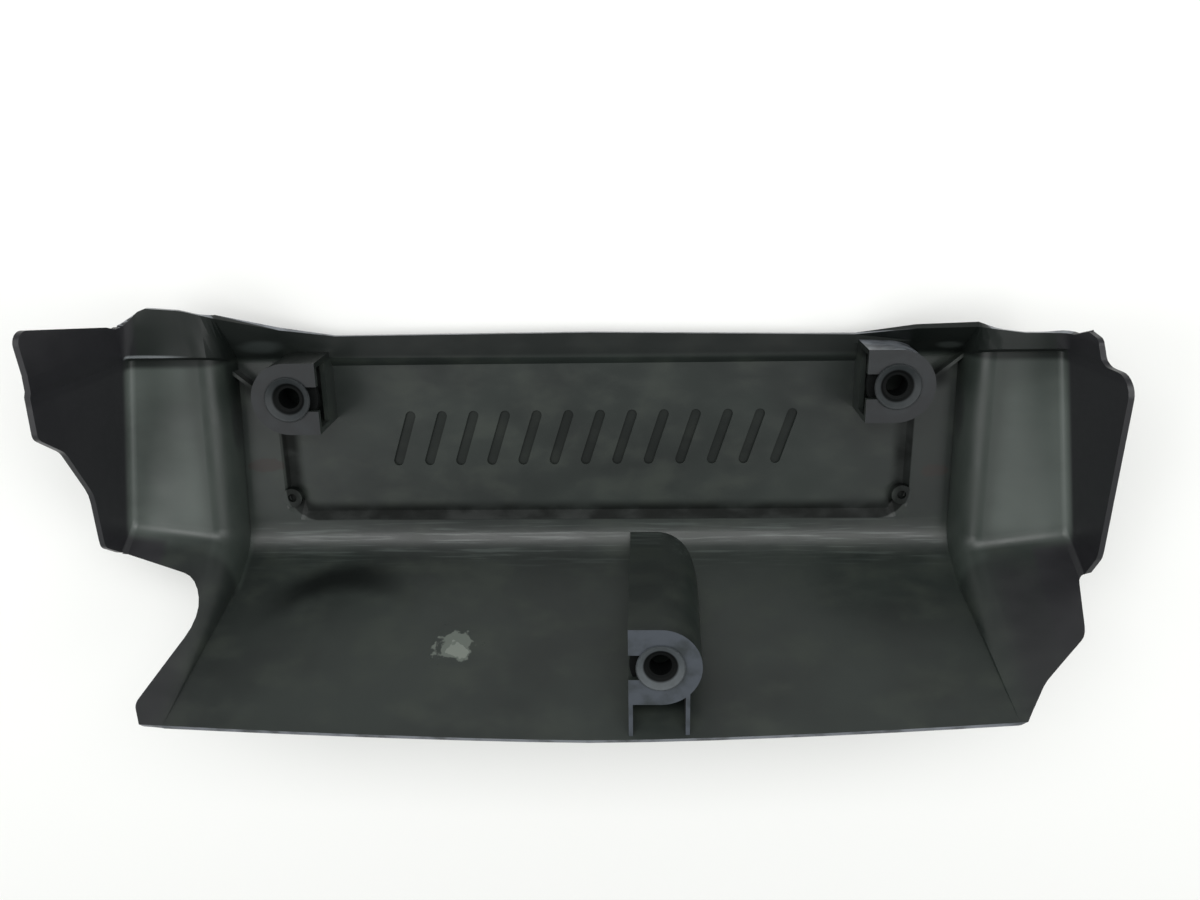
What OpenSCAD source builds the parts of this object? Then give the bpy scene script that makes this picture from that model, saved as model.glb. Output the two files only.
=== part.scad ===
// Front cover of a V engine, lying on its outer face with the hollow side up.
// One moulding carries three C-shaped seats, and a rubber grommet sits in each.
// X runs across the engine, Y from the apron's rim to the rear edge, Z up into the hollow.

/* [Wall and plate] */
// Wall thickness of the moulding
wall = 2.5; // [2:0.1:3.5]
// Half width of the flat plate between the two steps
plate_half_w = 180; // [170:1:185]
// How far the plate's centre line lies beside the origin
centre_x = -0.6; // [-3:0.1:3]
// How far the whole cover is drawn towards the rim, so that the origin is its middle
centre_y = -0.8; // [-4:0.1:0]
// Y of the edge of the raised strip along the rear of the plate
strip_y = 63.3; // [58:0.1:65]
// Height of that strip above the plate
strip_h = 1.2; // [0.8:0.1:3]
// Y of the rear edge at the centre line
rear_y = 74.5; // [72:0.5:77]
// Y where the plate and the apron would meet without their bend
apron_foot_y = -34.5; // [-40:0.5:-32]
// Radius of the bend between plate and apron
bend_r = 19.5; // [14:0.5:20]
// Steepness of the apron at its foot
apron_angle = 60; // [55:1:64]

/* [Rim of the apron] */
// Y of the rim at the centre line
rim_y = -91.6; // [-96:0.1:-86]
// Height of the rim
rim_z = 102; // [96:0.5:110]
// How far the rim bows back at the plate's left edge
rim_bow_left = 6.3; // [4:0.1:10]
// How far the rim bows back at the plate's right edge
rim_bow_right = 9; // [6:0.1:12]
// How much wider the left crease of the apron is at the rim
flare_left = 13; // [8:1:15]
// How much wider the right crease of the apron is at the rim
flare_right = 9; // [6:1:12]

/* [Side lobes] */
// How much nearer the centre line the left step stands at the rear
narrow_left = 4; // [0:0.5:6]
// How much nearer the centre line the right step stands at the rear
narrow_right = 1.5; // [0:0.5:6]
// Height of the lobe floors above the plate
lobe_h = 20; // [16:1:24]
// Width of a lobe from its step to its outer crease, halfway along it
lobe_w = 34.5; // [30:0.5:42]
// How fast the lobes widen towards the apron
lobe_flare = 0.135; // [0:0.005:0.16]
// Width of the rounded step from the plate to a lobe
step_w = 12; // [8:1:16]
// Y of the foot of the left lobe's front wall, beside the plate
left_lobe_foot_y = -25; // [-29:0.5:-22]
// Y of the foot of the right lobe's front wall, beside the plate
right_lobe_foot_y = -31; // [-34:0.5:-26]
// How fast that foot runs back towards the outer crease
lobe_foot_slope = 0.14; // [0:0.02:0.3]
// Radius of the bend at that foot
lobe_bend_r = 8; // [5:1:10]
// Steepness of the lobe's front wall at its foot
lobe_angle = 53; // [48:1:58]
// Y of the edge of the ledge along the rear of a lobe
ledge_y = 69.5; // [66:0.5:72]
// Height of that ledge above the lobe floor
ledge_h = 6; // [4:0.5:8]
// Run of the risers under the ledge and the strip
riser_run = 2.5; // [1:0.5:3]
// Radius inside the outer crease
crease_r = 3; // [2:0.5:5]
// Radius inside that crease at the rear edge, where the ledge sweeps up into the wing
ledge_crease_r = 8; // [5:1:12]

/* [Side wings] */
// Outward lean of the wings, in degrees
wing_lean = 6.8; // [5:0.1:9]
// How far the wings lean back at the rear edge, per mm of height
wing_sweep = 0.3; // [0.25:0.01:0.4]
// Height of the left wing at the rear
left_wing_z = 102; // [98:0.5:104]
// Height of the left wing in front of its scallop
left_wing_low_z = 49; // [46:0.5:52]
// Height of the right wing at the rear
right_wing_z = 81; // [78:0.5:83]

/* [Pocket] */
// Distance from the plate's side to the pocket's side
pocket_inset = 20.5; // [18:0.5:30]
// Y of the pocket's front edge
pocket_front_y = -23; // [-26:0.5:-18]
// Depth of the pocket
pocket_depth = 3; // [2:0.5:4]
// Corner radius of the pocket
pocket_r = 9; // [6:1:14]
// Run of the pocket's sloped sides over its depth
pocket_run = 2.5; // [1:0.5:4]
// Run of the pocket's gentler front side over its depth
pocket_front_run = 9.5; // [3:0.5:12]
// Diameter of the round posts in the pocket's front corners
post_d = 10; // [8:0.5:12]
// Height of those posts above the pocket floor
post_h = 4; // [2:0.5:6]
// Diameter of the blind hole in a post
post_hole_d = 4.5; // [3:0.5:6]
// Y of the posts
post_y = -10.5; // [-12:0.5:-6]

/* [Strakes] */
// Number of grooves in the pocket floor
strake_n = 13; // [5:1:17]
// Distance from one groove to the next
strake_pitch = 16; // [12:0.5:18]
// Width of a groove
strake_w = 5; // [3:0.5:7]
// Length of a groove along Y
strake_l = 30; // [20:1:36]
// Depth of a groove
strake_depth = 1.1; // [0.6:0.1:1.5]
// Slant of the grooves, in degrees
strake_slant = 18; // [0:1:30]
// Y of the middle of the grooves
strake_y = 20; // [12:1:26]

/* [Seats] */
// Room between a grommet's flange and the round wall of an upper seat
seat_room = 1.3; // [0.8:0.1:3.5]
// How far a seat's flat side stands outside the grommet's flange
flat_room = 0.5; // [0.3:0.1:2]
// Distance from the plate's side to the axis of the upper seat beside it
seat_inset = 36.3; // [35:0.1:42]
// Y of the left seat
left_seat_y = 48.8; // [46:0.1:53]
// Y of the right seat
right_seat_y = 52.5; // [46:0.5:53]
// Height of the upper seats above the plate
seat_h = 27; // [20:1:32]
// Thickness of a seat's top
seat_top = 3; // [2.5:0.1:4]
// Thickness of a seat's side walls
seat_wall = 2.4; // [2:0.1:3]
// Width of the mouth in a seat's top
mouth_w = 12; // [10:0.5:14]
// Thickness of the rib between a seat and the step beside it
rib_t = 1.6; // [1.2:0.1:3]
// Height of that rib above the plate
rib_h = 6; // [4:1:14]
// How far in front of the seat's axis the rib leaves its wall
rib_y = 7.5; // [4:0.5:9]
// Slant of the rib towards the rear, in degrees
rib_slant = 40; // [20:1:45]

/* [Tower] */
// Distance of the tower from the centre line
tower_x = 32; // [24:0.5:40]
// Y of the tower's axis
tower_y = -56; // [-58:0.5:-53]
// Room between the front grommet's flange and the tower's wall
tower_room = 2.2; // [1.2:0.1:3.5]
// Height of the tower's top above the plate
tower_h = 95; // [86:1:97]
// How much wider the tower is at its foot
tower_draft = 2.5; // [1:0.5:4]
// How far the tower's foot reaches back behind its top
tower_lean = 5.5; // [2:0.5:6]
// Distance from the tower's axis to its flat side, at the foot
tower_foot_flat = 13.4; // [12:0.1:15.6]
// Thickness of the two legs between tower and rim
leg_t = 1.9; // [1.8:0.1:3]

/* [Grommets] */
// Diameter of a grommet where it passes through its seat
grommet_d = 19.6; // [18:0.2:21]
// Length of a grommet
grommet_l = 15; // [12:0.5:18]
// How far the bead on the seat's top reaches past the neck
bead_lip = 1.2; // [0.8:0.1:2]
// How far the flange under the seat's top reaches past the neck
flange_lip = 4; // [2:0.1:5]
// How much narrower the grommet is at its lower end
grommet_draft = 1; // [0:0.1:2]
// Thickness of the top bead
bead_t = 1; // [0.8:0.1:1.5]
// Thickness of the lower flange
flange_t = 3; // [2:0.5:4]
// Diameter of the socket for the ball stud
socket_d = 10; // [9:0.5:11]
// Width of the bead's flat rim round the mouth of the funnel
bead_rim = 0.7; // [0.5:0.1:2]
// Diameter of the funnel at its foot
throat_d = 12.6; // [11.2:0.2:14]
// Depth of the funnel
funnel_depth = 3.5; // [3:0.5:7]
// Clearance between a grommet and its seat
fit = 0.15; // [0.1:0.05:0.3]

/* [Hidden] */
$fn = 64;

// The pocket's floor is one wall thick and its outer face is what the cover rests on
plate_z = wall + pocket_depth;
lobe_z = plate_z + lobe_h;
lobe_half_w = plate_half_w + step_w + lobe_w;
pocket_half_w = plate_half_w - pocket_inset;
seat_x = plate_half_w - seat_inset;
// The wings reach past their highest rim before they are trimmed
wing_top_z = max(rim_z, left_wing_z, right_wing_z) + 8;
bead_d = grommet_d + 2 * bead_lip;
funnel_d = bead_d - 2 * bead_rim;
flange_d = grommet_d + 2 * flange_lip;
// Outer radius of the upper seats, and the distance from a seat's axis to its flat side
seat_r = flange_d / 2 + seat_room + seat_wall;
seat_flat = flange_d / 2 + flat_room;
// Outer radius of the tower at its top
tower_r = flange_d / 2 + tower_room + seat_wall;
seat_top_z = plate_z + seat_h;
tower_top_z = plate_z + tower_h;
pocket_rear_y = strip_y - riser_run;
// Room around a grommet's lower end in the window it goes in by
window_gap = 1;

// Rear edge: X from the centre line, Y from the edge's middle, and the share of the way from the
// plate's strip up to the ledge
REAR_EDGE = [
    [-lobe_half_w - 12.5, 9, 1], [-lobe_half_w + 6, 9, 1], [-lobe_half_w + 10, 11, 1],
    [-lobe_half_w + 18, 18.6, 1], [-plate_half_w - 10, 17.2, 1], [-plate_half_w + 2.5, 13.1, 0.85],
    [-plate_half_w + 14, 8.5, 0.6], [-plate_half_w + 28, 4.5, 0.3], [-plate_half_w + 38, 1.5, 0.1],
    [-plate_half_w + 52, -0.5, 0], [0, 0, 0], [plate_half_w - 60, -2.1, 0], [plate_half_w - 46, -1.9, 0.1],
    [plate_half_w - 36, -0.4, 0.3], [plate_half_w - 26, 3.4, 0.6], [plate_half_w - 14.5, 7.6, 1],
    [plate_half_w + 5, 4.6, 1], [plate_half_w + 20, 2.5, 1], [lobe_half_w - 13, 2.4, 1],
    [lobe_half_w + 12.5, 4.5, 1],
];
EDGE_Y = [for (p = REAR_EDGE) [p.x, rear_y + p.y]];
EDGE_RISE = [for (p = REAR_EDGE) [p.x, p.z]];
// Y at which the lobes have their half width
lobe_mid_y = 22;
// Band on each side that holds the wings
wing_inner_x = lobe_half_w - 11.5;
wing_outer_x = lobe_half_w + 42.5;
// Share of the apron's height over which its creases run straight before they flare
FLARE_START = 0.17;

// Rows of the skin, from the rear edge to the rim: which stretch, and how far along it
LEDGE = 0;
FLOOR = 1;
BEND = 2;
APRON = 3;
ROWS = concat(
    [[LEDGE, 0], [LEDGE, 0.5], [LEDGE, 1]],
    [for (v = [0, 0.08, 0.18, 0.6]) [FLOOR, v]],
    [for (k = [0:6]) [BEND, k / 6]],
    [for (v = [FLARE_START, 0.33, 0.5, 0.66, 0.83, 1]) [APRON, v]]
);
CHANNEL_STEPS = 7;
STEP_STEPS = 6;
LOBE_STEPS = 6;
CREASE_STEPS = 5;
SLOT_STEPS = 8;

function mix(a, b, t) = a + (b - a) * t;

// Y of the apron's rim, bowed back towards both sides
function rim_at(x) = rim_y + (x < 0 ? rim_bow_left : rim_bow_right) * pow(abs(x) / plate_half_w, 1.5);

// Y and Z of the rear edge
function rear_at(x) =
    [lookup(x, EDGE_Y), mix(plate_z + strip_h, lobe_z + ledge_h, lookup(x, EDGE_RISE))];

// Y and Z along one front-to-rear section, for the plate or for a lobe
function section(x, row, edge_y, edge_h, floor_z, foot_y, r, angle) =
    let (
        start_y = foot_y + r * tan(angle / 2),
        turn = angle * (row[0] == BEND ? row[1] : 1),
        bent = [start_y - r * sin(turn), floor_z + r * (1 - cos(turn))]
    )
    row[0] == LEDGE ? mix(rear_at(x), [edge_y, floor_z + edge_h], row[1])
    : row[0] == FLOOR ? [mix(edge_y - riser_run, start_y, row[1]), floor_z]
    : row[0] == BEND ? bent
    : [mix(bent.x, rim_at(x), row[1]), mix(bent.y, rim_z, row[1])];

function plate_section(x, row) =
    section(x, row, strip_y, strip_h, plate_z, apron_foot_y, bend_r, apron_angle);

function lobe_section(x, row) =
    section(x, row, ledge_y, ledge_h, lobe_z,
        (x < 0 ? left_lobe_foot_y : right_lobe_foot_y) + lobe_foot_slope * (abs(x) - plate_half_w),
        lobe_bend_r, lobe_angle);

// Distance of the step's foot from the centre line: narrower towards the rear, wider along the apron
function foot_at(side, row) =
    let (
        narrowed = row[0] == LEDGE ? 1 : row[0] == FLOOR ? 1 - row[1] : 0,
        flared = row[0] == APRON ? (row[1] - FLARE_START) / (1 - FLARE_START) : 0
    )
    plate_half_w - narrowed * (side < 0 ? narrow_left : narrow_right)
        + flared * (side < 0 ? flare_left : flare_right);

// How far past its foot the step has risen to a height
function step_reach(h) = step_w * (1 - sqrt(1 - pow(h / lobe_h, 2)));

// A point of the inner skin: the plate, a lobe, or the quarter-round step between them
function skin(x, row) =
    let (
        d = (abs(x) - foot_at(x, row)) / step_w,
        rise = d <= 0 ? 0 : d >= 1 ? 1 : sqrt(1 - pow(1 - d, 2)),
        low = plate_section(x, row),
        high = lobe_section(x, row)
    )
    [x, mix(low.x, high.x, rise), mix(low.y, high.y, rise)];

// Distance of the outer crease from the centre line
function crease_at(side, row) =
    lobe_half_w + lobe_flare * (lobe_mid_y - lobe_section(side * lobe_half_w, row).x);

// Radius inside the outer crease, growing over the ledge towards the rear edge
function crease_r_at(row) = row[0] == LEDGE ? mix(ledge_crease_r, crease_r, row[1]) : crease_r;

// The wing above the outer crease, from the foot of its radius to its top
function wing(side, row, k) =
    let (
        crease = crease_at(side, row),
        base = skin(side * crease, row),
        turn = (90 - wing_lean) * k / CREASE_STEPS,
        r = crease_r_at(row),
        x = side * (crease - r * (1 - sin(turn))),
        up = wing_top_z - base.z,
        sweep = row == ROWS[0] ? wing_sweep : 0
    )
    k <= CREASE_STEPS
        ? [x, row[0] == LEDGE ? skin(x, row).y : base.y, base.z + r * (1 - cos(turn))]
        : [side * (crease + up * tan(wing_lean)), base.y + up * sweep, wing_top_z];

// One side of a row, from the step's foot out to the top of the wing
function side_of_row(side, row) =
    let (
        foot = foot_at(side, row),
        inner = foot + step_w,
        outer = crease_at(side, row) - crease_r_at(row)
    )
    concat(
        [for (k = [1:STEP_STEPS]) skin(side * (foot + step_w * (1 - cos(90 * k / STEP_STEPS))), row)],
        [for (k = [1:LOBE_STEPS]) skin(side * mix(inner, outer, k / LOBE_STEPS), row)],
        [for (k = [1:CREASE_STEPS + 1]) wing(side, row, k)]
    );

function reversed(list) = [for (i = [len(list) - 1:-1:0]) list[i]];

function whole_row(row) =
    concat(
        reversed(side_of_row(-1, row)),
        [for (k = [-CHANNEL_STEPS:CHANNEL_STEPS]) skin(foot_at(k, row) * k / CHANNEL_STEPS, row)],
        side_of_row(1, row)
    );

INNER = [for (row = ROWS) whole_row(row)];
ROW_N = len(INNER);
COL_N = len(INNER[0]);

function unit(v) = v / norm(v);

// Direction into the hollow at a point of the inner skin
function normal_at(j, i) =
    let (
        across = INNER[j][min(i + 1, COL_N - 1)] - INNER[j][max(i - 1, 0)],
        along = INNER[max(j - 1, 0)][i] - INNER[min(j + 1, ROW_N - 1)][i]
    )
    unit(cross(across, along));

OUTER = [for (j = [0:ROW_N - 1]) [for (i = [0:COL_N - 1]) INNER[j][i] - wall * normal_at(j, i)]];

function corner(layer, j, i) = (layer * ROW_N + j) * COL_N + i;

function quad(a, b, c, d) = [[a, b, c], [a, c, d]];

// The tub before trimming: an inner skin, an outer skin one wall away, and four edges
module tub() {
    faces = concat(
        [for (j = [0:ROW_N - 2]) for (i = [0:COL_N - 2])
            each quad(corner(0, j, i), corner(0, j, i + 1), corner(0, j + 1, i + 1), corner(0, j + 1, i))],
        [for (j = [0:ROW_N - 2]) for (i = [0:COL_N - 2])
            each quad(corner(1, j, i), corner(1, j + 1, i), corner(1, j + 1, i + 1), corner(1, j, i + 1))],
        [for (i = [0:COL_N - 2]) each concat(
            quad(corner(1, 0, i), corner(1, 0, i + 1), corner(0, 0, i + 1), corner(0, 0, i)),
            quad(corner(0, ROW_N - 1, i), corner(0, ROW_N - 1, i + 1),
                corner(1, ROW_N - 1, i + 1), corner(1, ROW_N - 1, i)))],
        [for (j = [0:ROW_N - 2]) each concat(
            quad(corner(0, j, 0), corner(0, j + 1, 0), corner(1, j + 1, 0), corner(1, j, 0)),
            quad(corner(1, j, COL_N - 1), corner(1, j + 1, COL_N - 1),
                corner(0, j + 1, COL_N - 1), corner(0, j, COL_N - 1)))]
    );
    polyhedron(points = [for (layer = [INNER, OUTER]) for (line = layer) each line], faces = faces);
}

// Rounds the corners of an outline whose points are [x, y, radius]
function rounded(path) = [
    for (i = [0:len(path) - 1])
        let (
            n = len(path),
            p = [path[i].x, path[i].y],
            a = unit([path[(i + n - 1) % n].x, path[(i + n - 1) % n].y] - p),
            b = unit([path[(i + 1) % n].x, path[(i + 1) % n].y] - p),
            half = acos(a * b) / 2,
            r = path[i][2],
            centre = p + unit(a + b) * r / sin(half),
            from = p + a * r / tan(half) - centre,
            to = p + b * r / tan(half) - centre,
            start = atan2(from.y, from.x),
            turn = atan2(from.x * to.y - from.y * to.x, from * to),
            steps = max(1, ceil(abs(turn) / 15))
        )
        each r == 0 ? [p] : [
            for (k = [0:steps])
                let (angle = start + turn * k / steps)
                centre + r * [cos(angle), sin(angle)]
        ]
];

// Extrudes an outline drawn in Y and Z across one side of the tub
module side_cut(side, path) {
    translate([side > 0 ? wing_inner_x : -wing_outer_x, 0, 0])
        rotate([90, 0, 90])
            linear_extrude(wing_outer_x - wing_inner_x) polygon(rounded(path));
}

// What is cut away above the left wing's rim
module left_wing_cut() {
    low_z = lobe_z + ledge_h + 3;
    side_cut(-1, [
        [rear_y + 65, low_z, 0], [rear_y + 10.5, low_z, 0], [rear_y + 22, left_wing_z, 5],
        [48, left_wing_z - 9, 6], [37, left_wing_z - 26, 14], [10, left_wing_low_z + 7.5, 24],
        [-20, left_wing_low_z, 5], [-27.5, left_wing_low_z - 11.5, 0],
        [-27.5, wing_top_z + 30, 0], [rear_y + 65, wing_top_z + 30, 0],
    ]);
}

// What is cut away above the right wing's rim
module right_wing_cut() {
    shelf_z = right_wing_z - 23;
    side_cut(1, [
        [rear_y + 65, shelf_z - 9, 0], [rear_y + 6.5, shelf_z - 9, 0], [rear_y + 4.5, shelf_z, 4],
        [67.8, shelf_z + 1.5, 5], [67.4, right_wing_z, 8], [-26, right_wing_z - 28.5, 8],
        [-37, right_wing_z - 35.5, 0], [-37, wing_top_z + 30, 0], [rear_y + 65, wing_top_z + 30, 0],
    ]);
}

// What is cut away outside the apron's side edges, with the round notch on the left
module plan_cut() {
    left = -lobe_half_w;
    right = lobe_half_w;
    translate([0, 0, lobe_z - 5]) linear_extrude(wing_top_z) {
        polygon(rounded([
            [left - 42.5, -17.8, 0], [left + 45.6, -41.4, 14.1], [left + 18.3, -77.8, 2.5], [left + 27.5, -91, 0],
            [left + 27.5, rim_y - 40, 0], [left - 42.5, rim_y - 40, 0],
        ]));
        polygon(rounded([
            [right + 42.5, -20, 0], [right + 5.4, -38, 5], [right + 0.9, -56.3, 7], [right - 22.3, -70.8, 16],
            [right - 36.2, -84, 0], [right - 36.2, rim_y - 40, 0], [right + 42.5, rim_y - 40, 0],
        ]));
    }
}

// A rounded rectangle over the pocket, grown by a margin, with its front side set back
module pocket_shape(grow, set_back) {
    half = pocket_half_w + grow - pocket_r;
    front_y = pocket_front_y - grow + set_back;
    translate([-half, front_y + pocket_r])
        offset(pocket_r) square([2 * half, pocket_rear_y + grow - front_y - 2 * pocket_r]);
}

// The pocket with sloped sides, from its floor to half a wall above the plate's own face
module pocket_body(floor_z, grow) {
    hull() {
        translate([0, 0, floor_z]) linear_extrude(0.3)
            pocket_shape(grow - pocket_run, pocket_front_run - pocket_run);
        translate([0, 0, floor_z + pocket_depth]) linear_extrude(wall / 2) pocket_shape(grow, 0);
    }
}

// Outline of a slot along Y with round ends
function slot(length, width) = [
    for (end = [-1, 1], k = [0:SLOT_STEPS])
        let (turn = 180 * k / SLOT_STEPS)
        [-end * width / 2 * cos(turn), end * (length - width + width * sin(turn)) / 2]
];

// Slanted grooves in the pocket floor
module strakes() {
    for (k = [0:strake_n - 1])
        translate([(k - (strake_n - 1) / 2) * strake_pitch, strake_y, wall - strake_depth])
            rotate([0, 0, -strake_slant])
                linear_extrude(pocket_depth) polygon(slot(strake_l, strake_w));
}

module post(side) {
    translate([side * (pocket_half_w - pocket_run - 1), post_y, wall / 2]) {
        difference() {
            cylinder(d = post_d, h = wall / 2 + post_h);
            translate([0, 0, wall]) cylinder(d = post_hole_d, h = post_h + wall);
        }
    }
}

function seat_y(side) = side < 0 ? left_seat_y : right_seat_y;

// Plan of a seat: half a disc towards -X, flat towards +X
module seat_plan(r, flat) {
    intersection() {
        circle(r);
        translate([-2 * r, -2 * r]) square([2 * r, 4 * r]);
    }
    translate([0, -r]) square([flat, 2 * r]);
}

// The round opening in a seat's top with its mouth towards +X
module seat_opening() {
    translate([0, 0, -seat_top - 1]) {
        cylinder(d = grommet_d + 2 * fit, h = seat_top + 2);
        translate([0, -mouth_w / 2, 0]) cube([seat_flat + 5, mouth_w, seat_top + 2]);
    }
}

// The window in a seat's flat side, under its top, that lets a grommet's lower end in
module seat_window() {
    width = flange_d + 2 * window_gap;
    translate([0, -width / 2, -grommet_l - window_gap])
        cube([seat_flat + 5, width, grommet_l + window_gap - seat_top]);
}

// An upper seat: a hollow C open towards +X, its top drawn at Z = 0
module upper_seat() {
    height = seat_top_z - wall / 2;
    difference() {
        translate([0, 0, -height]) linear_extrude(height) seat_plan(seat_r, seat_flat);
        translate([0, 0, -height - 1])
            linear_extrude(height + 1 - seat_top) seat_plan(seat_r - seat_wall, seat_flat - seat_wall);
        seat_opening();
        seat_window();
    }
}

// Both upper seats, cut off below at the middle of the wall that they stand on
module upper_seats() {
    intersection() {
        for (side = [-1, 1])
            translate([side * seat_x, seat_y(side), seat_top_z])
                rotate([0, 0, side < 0 ? 0 : 180]) upper_seat();
        union() {
            pocket_body(wall / 2, wall / 2);
            translate([-lobe_half_w, -lobe_half_w, plate_z - wall / 2])
                cube([2 * lobe_half_w, 2 * lobe_half_w, seat_h + wall]);
        }
    }
}

// The low rib from a seat's round side to the step beside it, rooted a little in both and in the plate
module seat_rib(side) {
    root = 0.3;
    start = sqrt(pow(seat_r - seat_wall / 2, 2) - pow(rib_y, 2));
    end = foot_at(side, ROWS[4]) + step_reach(rib_h) + root - seat_x;
    half = rib_t / 2 / cos(rib_slant);
    end_y = (end - start) * tan(rib_slant);
    translate([side * seat_x, seat_y(side) - rib_y, plate_z - root])
        linear_extrude(rib_h + root)
            polygon([
                [side * start, -half], [side * end, end_y - half],
                [side * end, end_y + half], [side * start, half],
            ]);
}

// Everything outside the apron, up to the middle of its wall
module outside_of_apron() {
    x = tower_x;
    path = [for (row = ROWS) if (row[0] != LEDGE) plate_section(x, row)];
    middle = [for (p = path) p + [-wall / 2, -wall / 2]];
    translate([x - 40, 0, 0])
        rotate([90, 0, 90])
            linear_extrude(80)
                polygon(concat(middle, [[rim_y - 40, rim_z], [rim_y - 40, -20], [strip_y, -20]]));
}

// The two legs that tie the tower to the apron
module legs() {
    for (x = [-seat_flat, tower_r - 2 * leg_t - 3.5])
        translate([tower_x + x, rim_y, plate_z])
            cube([leg_t, tower_y - tower_r / 2 - rim_y, tower_h]);
}

// The tall hollow tower in front, its seat open towards -X
module tower() {
    difference() {
        union() {
            tower_shell(0);
            legs();
        }
        tower_shell(seat_wall);
        outside_of_apron();
        translate([tower_x, tower_y, tower_top_z]) rotate([0, 0, 180]) {
            seat_opening();
            seat_window();
        }
    }
}

// Outer form of the tower, or its hollow when it is shrunk by a wall
module tower_shell(inset) {
    top_z = tower_top_z - (inset > 0 ? seat_top : 0);
    translate([tower_x, 0, 0]) hull() {
        translate([0, tower_y, top_z - 0.5])
            linear_extrude(0.5) rotate(180) seat_plan(tower_r - inset, seat_flat - inset, $fn = 48);
        translate([0, tower_y + tower_lean, wall / 2])
            linear_extrude(0.5)
                rotate(180) seat_plan(tower_r + tower_draft - inset, tower_foot_flat - inset, $fn = 48);
    }
}

module cover() {
    color([0.16, 0.17, 0.18]) translate([centre_x, centre_y, 0]) {
        difference() {
            union() {
                tub();
                pocket_body(0, wall);
            }
            pocket_body(wall, 0);
            strakes();
            left_wing_cut();
            right_wing_cut();
            plan_cut();
        }
        for (side = [-1, 1]) {
            post(side);
            seat_rib(side);
        }
        upper_seats();
        tower();
    }
}

// A grommet with its seat's top face at Z = 0
module grommet() {
    neck_r = grommet_d / 2;
    top = bead_t + fit;
    seat_low = -seat_top - fit;
    color([0.09, 0.09, 0.1]) rotate_extrude() polygon([
        [funnel_d / 2, top], [bead_d / 2 - 0.4, top], [bead_d / 2, top - 0.4], [bead_d / 2, fit],
        [neck_r, fit], [neck_r, seat_low], [flange_d / 2, seat_low], [flange_d / 2, seat_low - flange_t],
        [neck_r, seat_low - flange_t], [neck_r - grommet_draft, top - grommet_l],
        [socket_d / 2, top - grommet_l], [socket_d / 2, top - funnel_depth], [throat_d / 2, top - funnel_depth],
    ]);
}

module upper_grommet(side) {
    translate([centre_x + side * seat_x, centre_y + seat_y(side), seat_top_z]) grommet();
}

module left_grommet() {
    upper_grommet(-1);
}

module right_grommet() {
    upper_grommet(1);
}

module front_grommet() {
    translate([centre_x + tower_x, centre_y + tower_y, tower_top_z]) grommet();
}

cover();
left_grommet();
right_grommet();
front_grommet();
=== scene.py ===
import math

import bmesh
import bpy
from mathutils import Matrix, Vector


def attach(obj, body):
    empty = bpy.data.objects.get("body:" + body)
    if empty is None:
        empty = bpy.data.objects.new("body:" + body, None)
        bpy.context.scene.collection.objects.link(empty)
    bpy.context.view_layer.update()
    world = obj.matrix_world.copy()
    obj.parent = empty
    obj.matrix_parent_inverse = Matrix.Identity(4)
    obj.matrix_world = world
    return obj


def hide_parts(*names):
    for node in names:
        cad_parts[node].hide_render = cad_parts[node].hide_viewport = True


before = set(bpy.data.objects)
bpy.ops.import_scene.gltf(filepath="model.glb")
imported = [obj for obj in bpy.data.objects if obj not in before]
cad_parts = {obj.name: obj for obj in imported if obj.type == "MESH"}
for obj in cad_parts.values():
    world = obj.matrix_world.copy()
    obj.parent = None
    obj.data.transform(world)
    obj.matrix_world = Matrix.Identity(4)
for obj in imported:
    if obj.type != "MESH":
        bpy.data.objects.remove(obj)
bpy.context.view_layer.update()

MM = 0.001

scene = bpy.context.scene
scene.view_settings.view_transform = "Standard"


# Camera: above and behind the rear edge, looking down and towards the apron

CAMERA_SENSOR = 36
CAMERA_LENS = 31.17
CAMERA_PLACE = (21.82, 171.9, 505.5)
CAMERA_RIGHT = (0.99933, -0.01756, -0.03209)
CAMERA_UP = (0.0070, 0.95312, -0.30256)


def add_camera():
    camera = bpy.data.cameras.new("camera")
    camera.sensor_fit = "HORIZONTAL"
    camera.sensor_width = CAMERA_SENSOR
    camera.lens = CAMERA_LENS
    camera.clip_start = 0.01
    view = bpy.data.objects.new("camera", camera)
    scene.collection.objects.link(view)
    right = Vector(CAMERA_RIGHT).normalized()
    back = right.cross(Vector(CAMERA_UP)).normalized()
    up = back.cross(right)
    turn = Matrix((right, up, back)).transposed().to_4x4()
    view.matrix_world = Matrix.Translation(Vector(CAMERA_PLACE) * MM) @ turn
    scene.camera = view


add_camera()


# Helpers for materials

def linear(code):
    """sRGB hex to a linear colour with alpha."""
    parts = [int(code[i:i + 2], 16) / 255 for i in (1, 3, 5)]
    return [c / 12.92 if c <= 0.04045 else ((c + 0.055) / 1.055) ** 2.4 for c in parts] + [1.0]


def add(tree, kind, inputs=None, **settings):
    """A node with its settings, and its inputs set or linked by name or number."""
    node = tree.nodes.new(kind)
    for key, value in settings.items():
        setattr(node, key, value)
    for key, value in (inputs or {}).items():
        if isinstance(value, bpy.types.NodeSocket):
            tree.links.new(value, node.inputs[key])
        else:
            node.inputs[key].default_value = value
    return node


def new_material(name):
    material = bpy.data.materials.new(name)
    material.use_nodes = True
    material.node_tree.nodes.clear()
    return material, material.node_tree


def finish_material(tree, shader):
    add(tree, "ShaderNodeOutputMaterial", {"Surface": shader})


def object_place(tree):
    return add(tree, "ShaderNodeTexCoord").outputs["Object"]


def maths(tree, operation, *values):
    return add(tree, "ShaderNodeMath", dict(enumerate(values)), operation=operation).outputs[0]


def vector_maths(tree, operation, *values):
    node = add(tree, "ShaderNodeVectorMath", dict(enumerate(values)), operation=operation)
    return node.outputs["Value" if operation == "LENGTH" else "Vector"]


def times(tree, a, b):
    return maths(tree, "MULTIPLY", a, b)


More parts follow.
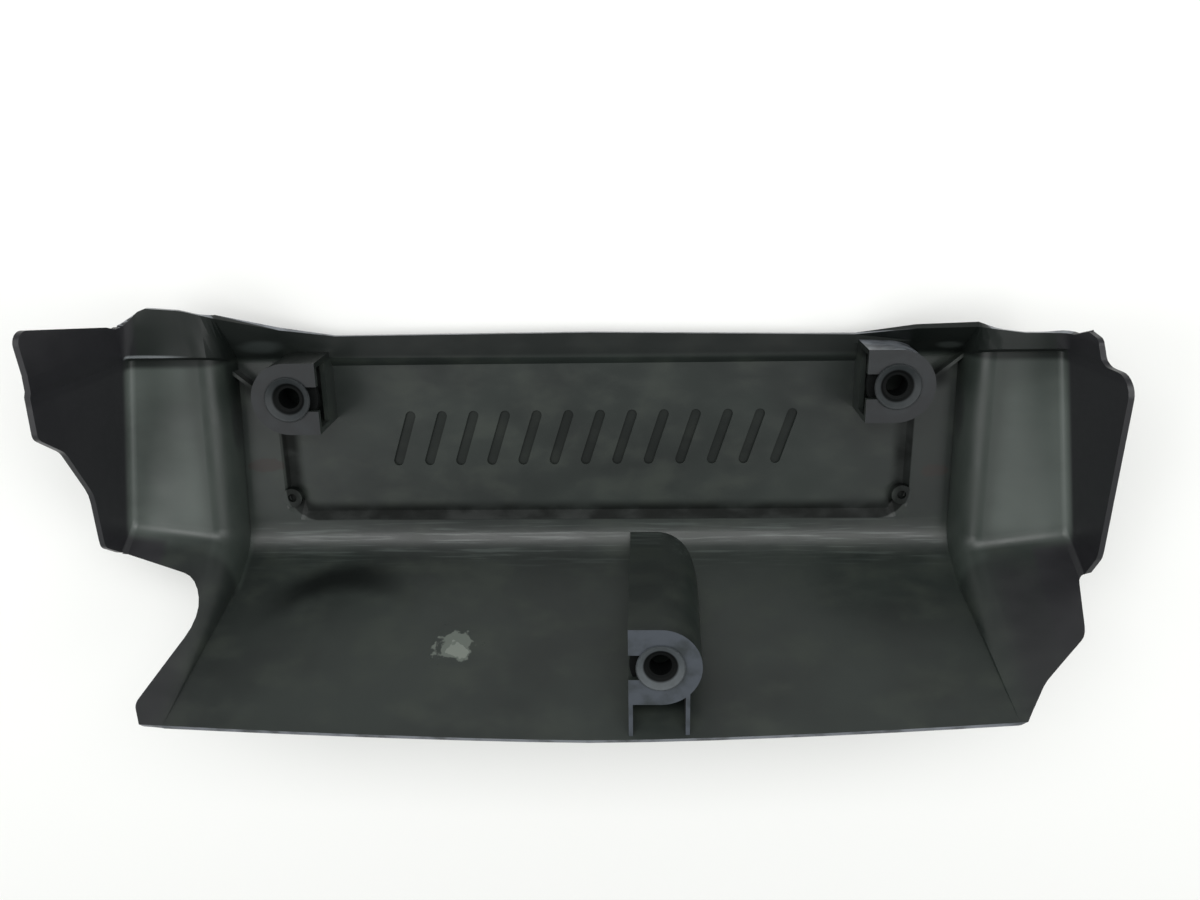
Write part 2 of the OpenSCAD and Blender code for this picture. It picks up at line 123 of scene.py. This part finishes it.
def plus(tree, a, b):
    return maths(tree, "ADD", a, b)


def larger(tree, a, b):
    return maths(tree, "MAXIMUM", a, b)


def size_of(tree, a):
    return maths(tree, "ABSOLUTE", a)


def blended(tree, share, a, b):
    return add(tree, "ShaderNodeMix", {"Factor": share, "A": a, "B": b}, data_type="RGBA").outputs["Result"]


def step_between(tree, value, low, high):
    """0 at one value and 1 at the other, whichever of them is larger, with a smooth step between."""
    inputs = {"Value": value, "From Min": low, "From Max": high}
    return add(tree, "ShaderNodeMapRange", inputs, interpolation_type="SMOOTHSTEP").outputs["Result"]


def from_to(tree, share, none, all_of_it):
    """The first number where a share is 0, and the second where it is 1."""
    return plus(tree, times(tree, share, all_of_it - none), none)


def stretched_noise(tree, place, grain, detail=3.0):
    """Noise whose grains measure so many millimetres along X, Y and Z."""
    scaled = vector_maths(tree, "MULTIPLY", place, [1 / (g * MM) for g in grain])
    noise = add(tree, "ShaderNodeTexNoise", {"Vector": scaled, "Scale": 1.0, "Detail": detail})
    return noise.outputs["Fac"]


# Shares of a mark's reach between which it fades in, for a soft and for a ragged edge
SOFT_EDGE = (1.0, 0.35)
RAGGED_EDGE = (0.95, 0.8)


def spot(tree, place, centre, reach, ragged=0.0):
    """1 near a point and 0 past its reach along X, Y and Z, both in millimetres, with a ragged edge."""
    away = vector_maths(tree, "SUBTRACT", place, [c * MM for c in centre])
    share = vector_maths(tree, "MULTIPLY", away, [1 / (r * MM) for r in reach])
    length = vector_maths(tree, "LENGTH", share)
    if not ragged:
        return step_between(tree, length, *SOFT_EDGE)
    wander = stretched_noise(tree, place, (5, 5, 5), 4.0)
    length = plus(tree, length, times(tree, plus(tree, wander, -0.5), ragged))
    return step_between(tree, length, *RAGGED_EDGE)


def zone(tree, axes, limits):
    """1 inside a zone and 0 outside it."""
    inside = None
    for axis, low, high in limits:
        step = step_between(tree, axes[axis], low * MM, high * MM)
        inside = step if inside is None else times(tree, inside, step)
    return inside


# Specular level of a clean surface, and of a dull one: stained, in painted shade, or in a rubber socket's
# painted shade
CLEAN_GLOSS = 0.5
DULL_GLOSS = 0.08
# Size of the mould's fine grain, and depth of the relief that it leaves, in millimetres
FINE_GRAIN = (0.9, 0.9, 0.9)
RELIEF_DEPTH = 0.05


def surface(tree, colour, roughness, relief, strength, ior, gloss=None):
    """The shader of a moulded surface, whose fine relief is a bump."""
    bump = add(tree, "ShaderNodeBump", {
        "Height": relief,
        "Strength": strength,
        "Distance": RELIEF_DEPTH * MM,
    })
    shader = add(tree, "ShaderNodeBsdfPrincipled", {
        "Base Color": colour,
        "Roughness": roughness,
        "Normal": bump.outputs["Normal"],
        "IOR": ior,
    })
    if gloss is not None:
        tree.links.new(gloss, shader.inputs["Specular IOR Level"])
    finish_material(tree, shader.outputs["BSDF"])


# Zones of the moulding: an axis, a place where the zone hasn't begun, and one where it is full,
# both in millimetres. Across is the distance from the middle. Outside is the distance from the
# rectangle whose front corners are the middles of the pocket's rounded corners. Beside is the
# distance from the smear's middle line.
BELOW_WINGS = [("z", 36, 30)]
LOBE_FLOOR = [("across", 184, 201), ("z", 36, 30), ("z", 18, 24.5), ("y", -34, -18)]
LOBE_OUTER = [("across", 208, 230)]
STEP_WALL = [("across", 177.5, 180), ("across", 196, 190), ("z", 36, 30), ("z", 6, 8)]
REAR = [("y", 61, 64)]
WINGS = [("across", 212, 216), ("z", 27.5, 33)]
APRON_ENDS = [("across", 186, 200), ("y", -30, -42)]
POCKET_BORDER = [("outside", 4.5, 10.5), ("outside", 15.6, 14.8)]
GROOVES = [("z", 2.4, 1.6), ("outside", 5, 4)]
POCKET = [("z", 7.5, 6.2), ("y", 61, 60)]
SMEAR = [("beside", 12, 1), ("y", -40, -44), ("x", -172, -140), ("x", -82, -125)]
BEND = [("y", -47, -36), ("y", -22, -28), ("across", 182, 172), ("z", 30, 18)]

# Middle of the pocket's rounded front corner, as the painted shade along the pocket's border shows it
POCKET_CORNER_X = 144
POCKET_CORNER_Y = -8.8
# The smear's middle line: its lowest place, and how fast it rises to both sides
SMEAR_X = -122
SMEAR_Z = 26
SMEAR_RISE = 11.0
# How far the smear's edges wander
SMEAR_WANDER = 14

# Marks on the moulding, real stains and painted highlights and shadows: place, reach, colour, how strongly
# it covers, how ragged its edge is
MARKS_AND_PAINTED_LIGHT = [
    ((-66, -67.6, 61), (11.5, 6.5, 10.5), "#686e68", 0.8, 1.8),
    ((-64, -68.4, 63), (6, 5, 4.5), "#7b817a", 0.7, 2.6),
    # a painted highlight along the left ledge's front edge
    ((-213, 68.9, 31.4), (26, 1.4, 1.8), "#8b9093", 0.7, 0.0),
    # painted shade at the seats' small ribs
    ((-170, 47, 9), (9, 9, 9), "#0f1211", 0.8, 0.0),
    ((169, 50, 9), (9, 9, 9), "#0f1211", 0.8, 0.0),
    ((-168, 6.5, 5.5), (11, 4, 3), "#261d1a", 0.7, 0.8),
    ((171, 1.5, 5.5), (8, 3.5, 3), "#261d1a", 0.7, 0.8),
    # painted highlights at the rear, between the pocket and the step walls
    ((-162, 69, 12), (14, 5, 9), "#414746", 0.45, 0.0),
    ((171, 67, 13), (8, 4, 7), "#474d4b", 0.5, 0.0),
    # painted shade on the step walls beside the seats
    ((-179, 29, 11), (3, 17, 6), "#1a1d1d", 0.7, 0.0),
    ((179.5, 33, 11), (3, 18, 6), "#1a1d1d", 0.7, 0.0),
]
# A mark that covers more strongly than this is dull as well
DULL_MARK = 0.75
# How ragged the edge is where the first mark, the patch on the apron, is rough
PATCH_RAGGED = 2.6


def outside_pocket(tree, axes):
    out_x = larger(tree, plus(tree, axes["across"], -POCKET_CORNER_X * MM), 0.0)
    out_y = larger(tree, plus(tree, times(tree, axes["y"], -1.0), POCKET_CORNER_Y * MM), 0.0)
    out = add(tree, "ShaderNodeCombineXYZ", {0: out_x, 1: out_y}).outputs[0]
    return vector_maths(tree, "LENGTH", out)


def beside_smear(tree, axes, flow):
    along = plus(tree, axes["x"], -SMEAR_X * MM)
    rise = times(tree, times(tree, along, along), SMEAR_RISE)
    middle = plus(tree, rise, SMEAR_Z * MM)
    beside = size_of(tree, plus(tree, axes["z"], times(tree, middle, -1.0)))
    return plus(tree, beside, times(tree, plus(tree, flow, -0.5), SMEAR_WANDER * MM))


# Injection-moulded ABS, black: low sheen, a fine grain from the mould, broad flow marks, rubbed streaks
# along the bend, and the stains of years under a bonnet; with painted highlights on the lobes and step
# walls, and painted shade at the rear, the apron's ends and the pocket
def moulded_plastic():
    material, tree = new_material("moulded_abs")
    place = object_place(tree)
    x, y, z = add(tree, "ShaderNodeSeparateXYZ", {0: place}).outputs
    grain = stretched_noise(tree, place, FINE_GRAIN)
    flow = stretched_noise(tree, place, (70, 45, 60), 4.0)
    film = stretched_noise(tree, place, (22, 14, 14), 5.0)
    rubs = stretched_noise(tree, place, (34, 1.6, 1.6))
    axes = {"x": x, "y": y, "z": z, "across": size_of(tree, x)}
    axes["outside"] = outside_pocket(tree, axes)
    axes["beside"] = beside_smear(tree, axes, flow)

    lobe = zone(tree, axes, LOBE_FLOOR)
    # the lobes' painted highlight: patchy with the flow marks, and paler at their outer parts
    highlight_patchiness = from_to(tree, step_between(tree, flow, 0.3, 0.7), 0.5, 1.0)
    lobe_highlight = blended(tree, zone(tree, axes, LOBE_OUTER), linear("#4c534f"), linear("#646b67"))
    wall = zone(tree, axes, STEP_WALL)
    rear = zone(tree, axes, REAR)
    wings = zone(tree, axes, WINGS)
    ends = zone(tree, axes, APRON_ENDS)
    # painted shade along the pocket's border and, at half strength, in its grooves
    border = times(tree, zone(tree, axes, POCKET_BORDER),
                   from_to(tree, step_between(tree, film, 0.3, 0.6), 0.5, 0.9))
    pocket_shade = larger(tree, border, times(tree, zone(tree, axes, GROOVES), 0.5))
    pocket_shade = times(tree, pocket_shade, zone(tree, axes, POCKET))
    smear = zone(tree, axes, SMEAR)
    rubbed = times(tree, zone(tree, axes, BEND), step_between(tree, rubs, 0.5, 0.68))

    colour = blended(tree, step_between(tree, flow, 0.35, 0.68), linear("#1b201e"), linear("#242a27"))
    # what lies over the bare plastic, from the lowest coat to the highest
    coats = [
        (times(tree, step_between(tree, film, 0.45, 0.75), 0.5), linear("#30362f")),
        # painted highlight on the lobes' floors
        (times(tree, lobe, highlight_patchiness), lobe_highlight),
        # painted light on the step walls
        (times(tree, wall, 0.7), linear("#343b37")),
        # painted shade on the rear strip
        (times(tree, rear, 0.8), linear("#0e1211")),
        (wings, linear("#222225")),
        # painted shade on the apron's ends beyond the creases
        (times(tree, ends, 0.8), linear("#1a1a1d")),
        # painted shade along the pocket's border and in its grooves
        (pocket_shade, linear("#070908")),
        (times(tree, smear, 0.8), linear("#0b0d0d")),
        (times(tree, rubbed, 0.55), linear("#4c5350")),
    ]
    # stains, and the painted shade in the pocket, at the rear and at the seats' ribs, take the sheen away
    dull = larger(tree, pocket_shade, times(tree, smear, 0.85))
    dull = larger(tree, dull, times(tree, rear, 0.4))
    for centre, reach, tint, strength, ragged in MARKS_AND_PAINTED_LIGHT:
        mark = times(tree, spot(tree, place, centre, reach, ragged), strength)
        coats.append((mark, linear(tint)))
        if strength > DULL_MARK:
            dull = larger(tree, dull, mark)
    for share, tint in coats:
        colour = blended(tree, share, colour, tint)

    patch_place, patch_reach = MARKS_AND_PAINTED_LIGHT[0][:2]
    patch = spot(tree, place, patch_place, patch_reach, PATCH_RAGGED)
    wing_foot = times(tree, times(tree, wings, 0.15), zone(tree, axes, BELOW_WINGS))
    roughness = from_to(tree, step_between(tree, film, 0.3, 0.7), 0.36, 0.46)
    roughness = plus(tree, roughness, times(tree, rubbed, -0.06))
    roughness = plus(tree, roughness, times(tree, patch, 0.4))
    roughness = plus(tree, roughness, wing_foot)
    relief = plus(tree, grain, times(tree, rubbed, 0.5))
    gloss = from_to(tree, dull, CLEAN_GLOSS, DULL_GLOSS)
    surface(tree, colour, roughness, relief, 0.25, 1.54, gloss)
    return material


# The same ABS in copies painted with light and shade: painted shade on the seats' tops and in the tower's
# shade, painted highlight on the tower's top and on trimmed edges
def lit_and_shaded_plastic(name, code, roughness, second="#2a2f31"):
    material, tree = new_material(name)
    place = object_place(tree)
    film = stretched_noise(tree, place, (9, 9, 9), 4.0)
    grain = stretched_noise(tree, place, FINE_GRAIN)
    colour = blended(tree, step_between(tree, film, 0.4, 0.75), linear(code), linear(second))
    surface(tree, colour, roughness, grain, 0.12, 1.54)
    return material


# Depths below a grommet's top, in millimetres, between which its funnel turns dark with painted shade
STILL_PALE = 1.7
FULLY_DARK = 2.6


# Moulded EPDM rubber: duller than the plastic, with a grey bloom on the funnel, and the socket painted dark
# as shade
def moulded_rubber(top_z, pale, paler):
    material, tree = new_material("moulded_epdm")
    place = object_place(tree)
    z = add(tree, "ShaderNodeSeparateXYZ", {0: place}).outputs["Z"]
    bloom = stretched_noise(tree, place, (3, 3, 3), 4.0)
    funnel = blended(tree, bloom, linear(pale), linear(paler))
    # painted shade darkening the socket below the funnel
    socket_shade = step_between(tree, z, (top_z - STILL_PALE) * MM, (top_z - FULLY_DARK) * MM)
    colour = blended(tree, socket_shade, funnel, linear("#0a0c0c"))
    surface(tree, colour, 0.6, bloom, 0.3, 1.52, from_to(tree, socket_shade, CLEAN_GLOSS, DULL_GLOSS))
    return material


# The materials that a face of the moulding can have, in the order of its material slots: the plain skin,
# and copies of it with painted shade and painted highlight
SKIN, SEAT_TOP, TRIMMED, TOWER_TOP, SHADED = range(5)
COVER_MATERIALS = [
    moulded_plastic(),
    # painted shade on the seats' tops
    lit_and_shaded_plastic("seat_face_painted_shade", "#121518", 0.55, "#1b1f22"),
    # painted highlight on trimmed edges
    lit_and_shaded_plastic("trimmed_edge_painted_highlight", "#74787f", 0.34),
    # painted highlight on the tower's top
    lit_and_shaded_plastic("tower_face_painted_highlight", "#41464d", 0.38),
    # painted shade between the tower's legs
    lit_and_shaded_plastic("shaded_abs", "#080a0a", 0.8, "#0d1010"),
]

# The tops of the two upper seats and of the tower: axis and height, in millimetres
SEATS = {
    "left": (-144.3, 48.0, 32.5),
    "right": (143.1, 51.7, 32.5),
    "front": (31.4, -56.8, 100.5),
}
# How far a seat's top reaches from its axis at most, and how far its faces may lie off its height
SEAT_REACH = 34
SEAT_LEVEL = 0.2
# About how far a grommet's bead stands above its seat's top
BEAD_TOP = 1.1

# Colours of the rubber's bloom, on the upper grommets and on the front one, paler there as a painted
# highlight like the tower's top
UPPER_BLOOM = ("#1f2325", "#2f3436")
FRONT_BLOOM_AND_HIGHLIGHT = ("#3a3f41", "#50565a")

# How far the foot of the pocket's front side is moved forwards
POCKET_STEEPENED = 5.5

# Angles in degrees: faces this flat to each other are joined, an edge this sharp stays an edge,
# and one this sharp is rounded
JOINED_BELOW = 0.7
EDGE_ABOVE = 26
ROUNDED_ABOVE = 28


# The moulding: the CAD surface with its flat faces joined, its pocket's front side made steep,
# rounded edges and smooth curves

def steepen_pocket(shape):
    """Moves the foot of the pocket's front side forwards, between the two posts."""
    for vert in shape.verts:
        x, y, z = (c / MM for c in vert.co)
        if 2.4 < z < 2.9 and abs(x) < 150.5 and -15 < y < -11.5:
            vert.co.y -= POCKET_STEEPENED * MM


def face_material(face):
    """The material of a face of the moulding, from its place and the way it faces: plain, or with painted
    shade or painted highlight.
    """
    x, y, z = (c / MM for c in face.calc_center_median())
    for side, (seat_x, seat_y, seat_z) in SEATS.items():
        near = math.hypot(x - seat_x, y - seat_y) < SEAT_REACH
        # the seats' tops get painted shade, the tower's top a painted highlight
        if abs(z - seat_z) < SEAT_LEVEL and near and face.normal.z > 0.9:
            return TOWER_TOP if side == "front" else SEAT_TOP
    # the apron's inner skin between the tower's two legs, painted dark as shade
    if 18 < x < 46 and y < -73 and z < 100 and face.normal.y > -0.3 and face.normal.z > -0.1:
        return SHADED
    # the rim's edge and the rear edge, painted pale as a highlight
    if z > 99.5 and y < -75 and face.normal.z > 0.2:
        return TRIMMED
    if y > 66 and z < 36 and face.normal.y > 0.85:
        return TRIMMED
    return SKIN


def dressed_node(node, name, materials, edge, change=None, join_flat=True):
    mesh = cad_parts[node].data.copy()
    mesh.materials.clear()
    for material in materials:
        mesh.materials.append(material)
    shape = bmesh.new()
    shape.from_mesh(mesh)
    bmesh.ops.remove_doubles(shape, verts=shape.verts, dist=0.002 * MM)
    bmesh.ops.dissolve_degenerate(shape, dist=0.01 * MM, edges=shape.edges)
    if change:
        change(shape)
    if join_flat:
        bmesh.ops.dissolve_limit(
            shape,
            angle_limit=math.radians(JOINED_BELOW),
            use_dissolve_boundaries=False,
            verts=shape.verts,
            edges=shape.edges,
        )
    shape.normal_update()
    for face in shape.faces:
        face.smooth = True
        face.material_index = face_material(face) if len(materials) > 1 else SKIN
    shape.to_mesh(mesh)
    shape.free()
    mesh.set_sharp_from_angle(angle=math.radians(EDGE_ABOVE))
    piece = bpy.data.objects.new(name, mesh)
    scene.collection.objects.link(piece)
    bevel = piece.modifiers.new("soft edges", "BEVEL")
    bevel.width = edge * MM
    bevel.segments = 2
    bevel.limit_method = "ANGLE"
    bevel.angle_limit = math.radians(ROUNDED_ABOVE)
    bevel.use_clamp_overlap = True
    weights = piece.modifiers.new("flat faces stay flat", "WEIGHTED_NORMAL")
    weights.keep_sharp = False
    weights.weight = 80
    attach(piece, "root")
    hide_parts(node)


dressed_node("cover", "moulded_cover", COVER_MATERIALS, 0.5, steepen_pocket)
for side, (_, _, seat_z) in SEATS.items():
    bloom = FRONT_BLOOM_AND_HIGHLIGHT if side == "front" else UPPER_BLOOM
    rubber = moulded_rubber(seat_z + BEAD_TOP, *bloom)
    dressed_node(side + "_grommet", side + "_rubber", [rubber], 0.3, join_flat=False)


# Floor: a white sheet that shows white and keeps the soft shadow

SHEET_GLOW = 0.12
SHEET_HALF_SIZE = 3.0
SHEET_BELOW_PART = 0.2


def add_floor():
    material, tree = new_material("white_sheet")
    camera_ray = add(tree, "ShaderNodeLightPath").outputs["Is Camera Ray"]
    paper = add(tree, "ShaderNodeBsdfDiffuse", {"Color": linear("#e9e9e7")})
    glow = add(tree, "ShaderNodeEmission", {"Color": linear("#ffffff"), "Strength": SHEET_GLOW})
    both = add(tree, "ShaderNodeAddShader", {0: paper.outputs[0], 1: glow.outputs[0]})
    seen = add(tree, "ShaderNodeMixShader", {0: camera_ray, 1: paper.outputs[0], 2: both.outputs[0]})
    finish_material(tree, seen.outputs[0])
    sheet = bmesh.new()
    bmesh.ops.create_grid(sheet, x_segments=1, y_segments=1, size=SHEET_HALF_SIZE)
    mesh = bpy.data.meshes.new("table")
    sheet.to_mesh(mesh)
    sheet.free()
    mesh.materials.append(material)
    table = bpy.data.objects.new("table", mesh)
    table.location.z = -SHEET_BELOW_PART * MM
    scene.collection.objects.link(table)


add_floor()


# Light: a soft panel at each side, one behind for the bend, and a dim room that looks white

def add_panel(name, place, size, power):
    lamp = bpy.data.lights.new(name, "AREA")
    lamp.shape = "RECTANGLE"
    lamp.size, lamp.size_y = size
    lamp.energy = power
    panel = bpy.data.objects.new(name, lamp)
    panel.location = place
    panel.rotation_euler = (-Vector(place)).to_track_quat("-Z", "Y").to_euler()
    scene.collection.objects.link(panel)


def add_room():
    world = bpy.data.worlds.new("dim_room")
    world.use_nodes = True
    tree = world.node_tree
    tree.nodes.clear()
    room = add(tree, "ShaderNodeBackground", {"Color": linear("#f4f8f6"), "Strength": 0.38})
    white = add(tree, "ShaderNodeBackground", {"Color": linear("#ffffff"), "Strength": 1.0})
    camera_ray = add(tree, "ShaderNodeLightPath").outputs["Is Camera Ray"]
    seen = add(tree, "ShaderNodeMixShader", {0: camera_ray, 1: room.outputs[0], 2: white.outputs[0]})
    add(tree, "ShaderNodeOutputWorld", {"Surface": seen.outputs[0]})
    scene.world = world


add_panel("left_panel", (-1.05, -0.10, 0.85), (0.9, 1.1), 6.5)
add_panel("right_panel", (1.05, -0.10, 0.85), (0.9, 1.1), 6.5)
add_panel("rear_panel", (0, 0.58, 0.95), (1.5, 0.42), 8)
add_room()
